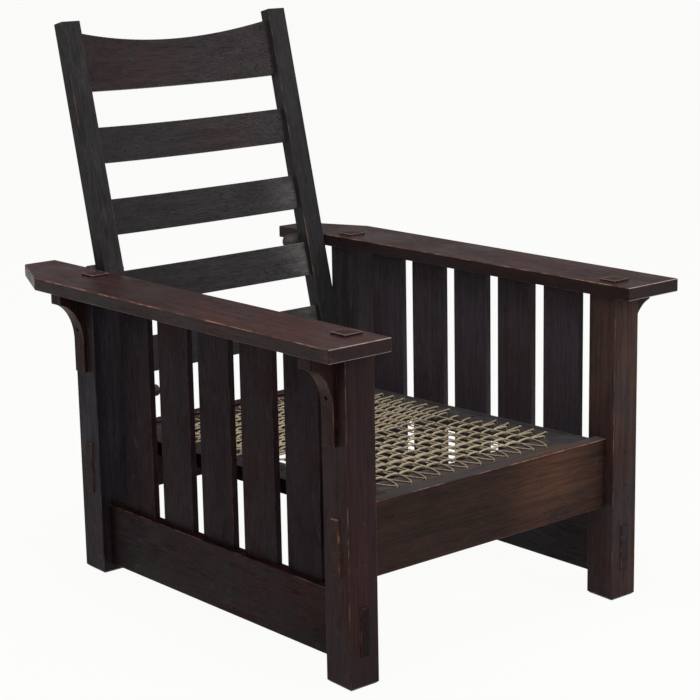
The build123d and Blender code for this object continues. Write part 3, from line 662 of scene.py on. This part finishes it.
def row_places():
    """Every crosswise cord: its hole, its row, whether it is one of two and which of them."""
    rows = []
    outer = [y for k, y in enumerate(outer_y) if k not in MISSING_CORDS]
    for hole, places, fan in ((INNER_HOLE_X, row_y, -1), (OUTER_HOLE_X, outer, 1)):
        for y in places:
            paired = y < PAIRED_AHEAD
            rows.append([hole, y, y - fan * PAIR_REACH if paired else y, paired, fan if paired else 0])
    for row in rows:
        row[2] += rng.uniform(-ROW_JITTER, ROW_JITTER)
    return rows


# A cord starts this far above the frame's underside, and turns out of its hole this deep
CORD_START = 0.002
LINE_TURN = 0.004
CORD_TURN = 0.003

# A lengthwise cord's way from its hole to the weave: the share of its way across, how far it is
# in from the holes and its share of the lift
LINE_LEAD = ((0.0, 0.0016, 0.7), (0.22, 0.008, 1.0), (0.62, 0.026, 1.0), (0.94, 0.044, 0.5))
UPPER_LIFT = 0.0016
LOWER_LIFT = 0.0001
# The place it aims at, how far in from the holes it enters the weave, and its spread there
LINE_AIM_Y = 0.262
LINE_ENTRY = 0.058
ENTRY_SPREAD = 0.8
# Its points inside the weave, and how its height and spread vary
WOVEN_REACH_Y = 0.256
LINE_POINTS = 36
LINE_VARIATION = (0.85, 1.1)


def lengthwise_cord(line, upper):
    """A cord from the front member to the rear one, above or below the crosswise cords."""
    start = line - 1 if upper else line
    if not 0 <= start < len(hole_x):
        return None
    side = 1 if upper else -1
    rise = LINE_TOP if upper else -LINE_BELOW
    lift = UPPER_LIFT if upper else LOWER_LIFT
    x_hole = hole_x[start]
    legs = []
    for end in (-1, 1):
        target = line_at(line, end * LINE_AIM_Y)
        leg = [
            (x_hole, end * CROSS_HOLE_Y, -FRAME_DEPTH + CORD_START),
            (x_hole, end * CROSS_HOLE_Y, -LINE_TURN),
        ]
        for across, inward, height in LINE_LEAD:
            x = x_hole + (target - x_hole) * across
            leg.append((x, end * (CROSS_HOLE_Y - inward), LINE_RADIUS + lift * height))
        entry = target + side * LINE_SPREAD * ENTRY_SPREAD
        leg.append((entry, end * (CROSS_HOLE_Y - LINE_ENTRY), WEAVE_Z + rise))
        legs.append(leg)
    front, rear = legs
    middle = []
    for k in range(1, LINE_POINTS):
        y = -WOVEN_REACH_Y + 2 * WOVEN_REACH_Y * k / LINE_POINTS
        x = line_at(line, y)
        beside = side * LINE_SPREAD * rng.uniform(*LINE_VARIATION)
        middle.append((x + beside, y, WEAVE_Z + sag(x, y) + rise * rng.uniform(*LINE_VARIATION)))
    return seat_points(front + middle + rear[::-1])


# How high a crosswise cord stands at its hole, and its way to the weave: how far it is in
# from the hole, the share of its way to its row and its share of that height
TIP_HEIGHTS = (0.0008, 0.0020)
CORD_LEAD = ((0.0010, 0.0, 0.8), (0.0060, 0.15, 1.0))
# The next point, with a height of its own, and the place and height at which it joins its row
CORD_SLOPE = (0.0150, 0.5, 0.0012)
CORD_ENTRY = (0.1990, 0.0004)
# How high its arches stand between the lines, and how much the front cord of a pair adds
PAIR_PEAKS = (0.0010, 0.0018)
SINGLE_PEAKS = (0.0010, 0.0020)
FRONT_CORD_MORE = 0.0012
PEAK_VARIATION = (0.8, 1.2)
# An arch's points: the share of the way to the next line and the share of the peak
ARCH = ((0.12, 0.42), (0.34, 0.86), (0.64, 1.0), (0.90, 0.96))
# How far a cord slants off its row at this distance from the middle, and how far it wanders
# at each line
ROW_SLANT = 0.0016
SLANT_REACH = 0.2
ROW_WANDER = 0.0008
# How far the cords of a pair part over a line and close up under it, and how far they part
# along an arch, from the share of its length where neither moves
OVER_PART = 0.0009
UNDER_CLOSE = 0.0004
ARCH_PART = 0.0018
ARCH_NEUTRAL = 0.3
# How far beyond a line's lower cord the top of the crossing lies, and its least share of the peak
OVER_SHIFT = 0.0004
OVER_PEAK_SHARE = 0.5


def crosswise_cord(hole, y_hole, y_row, paired, fan):
    """A cord from side to side, over the lower and under the upper cord of each line."""
    legs = []
    for end in (-1, 1):
        tip = rng.uniform(*TIP_HEIGHTS)
        leg = [
            (end * hole, y_hole, -FRAME_DEPTH + CORD_START),
            (end * hole, y_hole, -CORD_TURN),
        ]
        for inward, along, height in CORD_LEAD:
            y = y_hole + (y_row - y_hole) * along
            leg.append((end * (hole - inward), y, CORD_RADIUS + tip * height))
        inward, along, height = CORD_SLOPE
        leg.append((end * (hole - inward), y_hole + (y_row - y_hole) * along, CORD_RADIUS + height))
        entry, height = CORD_ENTRY
        leg.append((end * entry, y_row, CORD_RADIUS + height))
        legs.append(leg)
    if paired:
        peak = rng.uniform(*PAIR_PEAKS) + (FRONT_CORD_MORE if fan < 0 else 0.0)
    else:
        peak = rng.uniform(*SINGLE_PEAKS)
    under = LINE_TOP - CORD_RADIUS - LINE_RADIUS
    over = max(CORD_RADIUS + LINE_RADIUS - LINE_BELOW, peak * OVER_PEAK_SHARE)
    slant = rng.uniform(-ROW_SLANT, ROW_SLANT)
    middle = []
    for line in range(len(line_x)):
        x = line_at(line, y_row)
        y = y_row + slant * x / SLANT_REACH + rng.uniform(-ROW_WANDER, ROW_WANDER)
        level = WEAVE_Z + sag(x, y_row)
        middle.append((x - LINE_SPREAD - OVER_SHIFT, y + fan * OVER_PART, level + over))
        middle.append((x + LINE_SPREAD, y - fan * UNDER_CLOSE, level + under))
        if line + 1 < len(line_x):
            span = line_at(line + 1, y_row) - x - 2 * LINE_SPREAD
            height = peak * rng.uniform(*PEAK_VARIATION)
            for share, rise in ARCH:
                at = x + LINE_SPREAD + span * share
                z = WEAVE_Z + sag(at, y_row) + under + (height - under) * rise
                middle.append((at, y + fan * (share - ARCH_NEUTRAL) * ARCH_PART, z))
    return seat_points(legs[0] + middle + legs[1][::-1])


# How far the runs rise into the holes, and how far those along the cross members bow inward
# in their middle and beside the holes
RUN_LIFT = 0.006
RUN_BOW = 0.0035
RUN_BOW_SHARE = 0.6


def under_runs():
    """Short runs of cord from hole to hole on the underside."""
    runs = []
    depth = -FRAME_DEPTH - CORD_RADIUS
    for end in (-1, 1):
        for a, b in zip(hole_x, hole_x[1:]):
            runs.append([(a, end * CROSS_HOLE_Y), (b, end * CROSS_HOLE_Y)])
    for side in (-1, 1):
        for k, y in enumerate(outer_y):
            if k not in MISSING_CORDS:
                runs.append([(side * INNER_HOLE_X, row_y[k]), (side * OUTER_HOLE_X, y)])
    paths = []
    for (ax, ay), (bx, by) in runs:
        bow = -RUN_BOW * math.copysign(1, ay) if ay == by else 0.0
        eighth = (bx - ax) / 8
        paths.append(seat_points([
            (ax, ay, depth + RUN_LIFT),
            (ax + eighth, ay + bow * RUN_BOW_SHARE, depth),
            ((ax + bx) / 2, (ay + by) / 2 + bow, depth),
            (bx - eighth, by + bow * RUN_BOW_SHARE, depth),
            (bx, by, depth + RUN_LIFT),
        ]))
    return paths


def cord_piece(name, paths, radius, material):
    vertices = []
    faces = []
    for path in paths:
        own_radius = radius * rng.uniform(*RADIUS_SPREAD)
        phase = rng.uniform(0, FULL_TURN)
        tube(smooth_path(path, STEP), own_radius, phase, vertices, faces)
    piece = mesh_piece(name, vertices, faces, material, "seat")
    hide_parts("seat_weave")


lengthwise = [lengthwise_cord(line, upper) for line in range(len(line_x)) for upper in (False, True)]
lengthwise = [path for path in lengthwise if path]
crosswise = [crosswise_cord(*row) for row in row_places()]
seat_cord = cord_material("seat_cord", CORD_BRIGHTNESS)
cord_piece("crosswise_cords", crosswise + under_runs(), CORD_RADIUS, seat_cord)
# The lengthwise cords are a darker copy of the cord: painted shade, as they lie below the arches
shaded_cord = cord_material("seat_cord_shaded", LINE_SHADED_BRIGHTNESS)
cord_piece("lengthwise_cords", lengthwise, LINE_RADIUS, shaded_cord)


# Stage, lights and camera

WHITE = (1.0, 1.0, 1.0, 1.0)
BACKGROUND_WHITE = (1.0, 1.0, 0.985, 1.0)
FLOOR_GREY = (0.66, 0.66, 0.655, 1.0)
# How much of the floor's look is plain white where the camera sees it
FLOOR_GLOW = 0.95
FLOOR_REACH = 30.0
STUDIO_LEVEL = 0.30

# Each lamp's name, place, width, power and colour; all look at one point
LIT_POINT = Vector((0.0, 0.0, 0.5))
LAMPS = (
    ("overhead", (-0.5, -0.2, 3.4), 2.0, 62.0, (1.0, 1.0, 1.0)),
    ("key", (1.5, -3.2, 2.4), 1.6, 44.0, (1.0, 0.985, 0.965)),
    ("fill", (-3.2, -0.6, 2.2), 2.0, 12.0, (1.0, 1.0, 1.0)),
)

CAMERA_LENS = 102.46
SENSOR_WIDTH = 36.0
CAMERA_PLACE = (-2.2423, -2.68617, 1.30007)
# The camera's azimuth, elevation and roll in degrees
CAMERA_ANGLES = (-40.527, 14.149, 0.085)


def stage_material():
    """A floor that looks white to the camera and lights the chair as a pale grey one."""
    tree = material_tree("stage_white")
    rays = tree.add("ShaderNodeLightPath").outputs
    seen = tree.math("MAXIMUM", rays["Is Camera Ray"], rays["Is Glossy Ray"])
    seen = tree.math("MAXIMUM", seen, rays["Is Transmission Ray"])
    pale = tree.add("ShaderNodeBsdfDiffuse", {"Color": FLOOR_GREY}).outputs[0]
    white = tree.add("ShaderNodeEmission", {"Color": BACKGROUND_WHITE, "Strength": 1.0}).outputs[0]
    return tree.close(tree.add("ShaderNodeMixShader", {0: tree.times(seen, FLOOR_GLOW), 1: pale, 2: white}))


def make_floor():
    mesh = bpy.data.meshes.new("floor")
    corners = [(x * FLOOR_REACH, y * FLOOR_REACH, 0.0) for x, y in ((-1, -1), (1, -1), (1, 1), (-1, 1))]
    mesh.from_pydata(corners, [], [(0, 1, 2, 3)])
    mesh.materials.append(stage_material())
    floor = bpy.data.objects.new("floor", mesh)
    bpy.context.scene.collection.objects.link(floor)


def make_world():
    """Soft light from all round, and a white background for the camera."""
    world = bpy.data.worlds.new("studio")
    bpy.context.scene.world = world
    tree = Tree(world)
    seen = tree.add("ShaderNodeLightPath").outputs["Is Camera Ray"]
    soft = tree.add("ShaderNodeBackground", {0: WHITE, 1: STUDIO_LEVEL}).outputs[0]
    white = tree.add("ShaderNodeBackground", {0: BACKGROUND_WHITE, 1: 1.0}).outputs[0]
    mixed = tree.add("ShaderNodeMixShader", {0: seen, 1: soft, 2: white})
    tree.close(mixed, "ShaderNodeOutputWorld")


def make_lamp(name, place, width, power, colour):
    data = bpy.data.lights.new(name, "AREA")
    data.shape = "SQUARE"
    data.size = width
    data.energy = power
    data.color = colour
    lamp = bpy.data.objects.new(name, data)
    lamp.location = place
    lamp.rotation_mode = "QUATERNION"
    lamp.rotation_quaternion = (LIT_POINT - Vector(place)).to_track_quat("-Z", "Y")
    bpy.context.scene.collection.objects.link(lamp)


def make_camera():
    """The camera that was fitted to the photograph."""
    data = bpy.data.cameras.new("camera")
    data.lens = CAMERA_LENS
    data.sensor_width = SENSOR_WIDTH
    azimuth, elevation, roll = (math.radians(a) for a in CAMERA_ANGLES)
    right = Vector((math.cos(azimuth), math.sin(azimuth), 0.0))
    back = Vector((
        math.sin(azimuth) * math.cos(elevation),
        -math.cos(azimuth) * math.cos(elevation),
        math.sin(elevation),
    ))
    up = back.cross(right)
    rolled_right = right * math.cos(roll) + up * math.sin(roll)
    rolled_up = up * math.cos(roll) - right * math.sin(roll)
    camera = bpy.data.objects.new("camera", data)
    camera.rotation_mode = "QUATERNION"
    camera.rotation_quaternion = Matrix((rolled_right, rolled_up, back)).transposed().to_quaternion()
    camera.location = CAMERA_PLACE
    bpy.context.scene.collection.objects.link(camera)
    bpy.context.scene.camera = camera


make_floor()
make_world()
for lamp_row in LAMPS:
    make_lamp(*lamp_row)
make_camera()
bpy.context.scene.view_settings.view_transform = "Standard"
